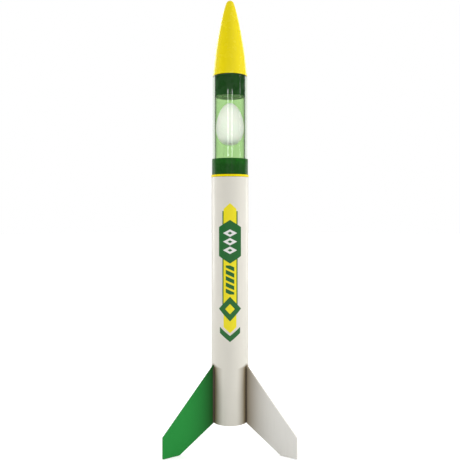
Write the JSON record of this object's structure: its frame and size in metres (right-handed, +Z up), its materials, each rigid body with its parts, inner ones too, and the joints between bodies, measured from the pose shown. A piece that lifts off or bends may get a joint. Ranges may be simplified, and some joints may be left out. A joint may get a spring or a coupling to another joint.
{
  "type": "model rocket",
  "caption": "Model rocket on swept fins with an ogive nose, a clear payload bay that carries an egg, a sprung motor mount and a stowed parachute.",
  "frame": {"origin": "centre of the footprint on the ground under the fins' feet; the rocket's centreline is 23.9 mm in front of it, at negative Y", "axes": "+Z up along the rocket towards the nose's tip, -Y towards the viewer, +X to the viewer's right; the third fin points to +Y"},
  "size_m": [0.1714, 0.1486, 0.5966],
  "materials": {
    "nose_yellow": "gloss",
    "moulding_green": "gloss",
    "clear_tube": "polished",
    "clear_cradle": "polished",
    "eggshell": "satin",
    "foam": "matte",
    "steel": "satin",
    "tube_white": "gloss",
    "fin_green": "satin",
    "fin_white": "satin",
    "kraft_card": "matte",
    "fibre_card": "matte",
    "folded_paper": "matte",
    "canopy_film": "satin",
    "line_white": "matte",
    "elastic_cord": "matte"
  },
  "bodies": {
    "airframe": {"body_tube": "tube_white", "trim_ring": "nose_yellow", "fin_left_green": "fin_green", "fin_right_white": "fin_white", "fin_back_white": "fin_white", "launch_lug_lower": "tube_white", "launch_lug_upper": "tube_white", "motor_tube": "kraft_card", "thrust_ring": "kraft_card", "centering_ring_aft": "fibre_card", "centering_ring_forward": "fibre_card", "hook_band": "folded_paper", "cord_anchor": "folded_paper", "parachute_canopy": "canopy_film", "shroud_lines": "line_white", "shock_cord_coil": "elastic_cord", "shock_cord_to_anchor": "elastic_cord", "shock_cord_to_eye": "elastic_cord"},
    "payload": {"payload_tube": "clear_tube", "payload_base": "moulding_green", "foam_cushion": "foam", "egg_cradle": "clear_cradle", "screw_eye": "steel", "eye_washer": "steel", "eye_nut": "steel", "shock_cord_knot": "elastic_cord"},
    "nose": {"nose_cone": "nose_yellow", "nose_plug": "moulding_green", "egg_retainer": "clear_cradle"},
    "egg": {"egg": "eggshell"},
    "hook": {"motor_hook": "steel"}
  },
  "joints": [
    {"name": "payload_pull", "type": "slide", "parent": "airframe", "child": "payload", "axis": [0, 0, 1], "range_m": [0, 0.08]},
    {"name": "nose_pull", "type": "slide", "parent": "payload", "child": "nose", "axis": [0, 0, 1], "range_m": [0, 0.175]},
    {"name": "egg_lift", "type": "slide", "parent": "payload", "child": "egg", "axis": [0, 0, 1], "range_m": [0, 0.097]},
    {"name": "motor_hook_flex", "type": "hinge", "parent": "airframe", "child": "hook", "pos_m": [0, -0.01068, 0.0961], "axis": [1, 0, 0], "range_deg": [0, 3], "stiffness_Nm_per_rad": 1}
  ],
  "couplings": [
    {"joint": "egg_lift", "follows": "nose_pull", "ratio": 0.55}
  ]
}
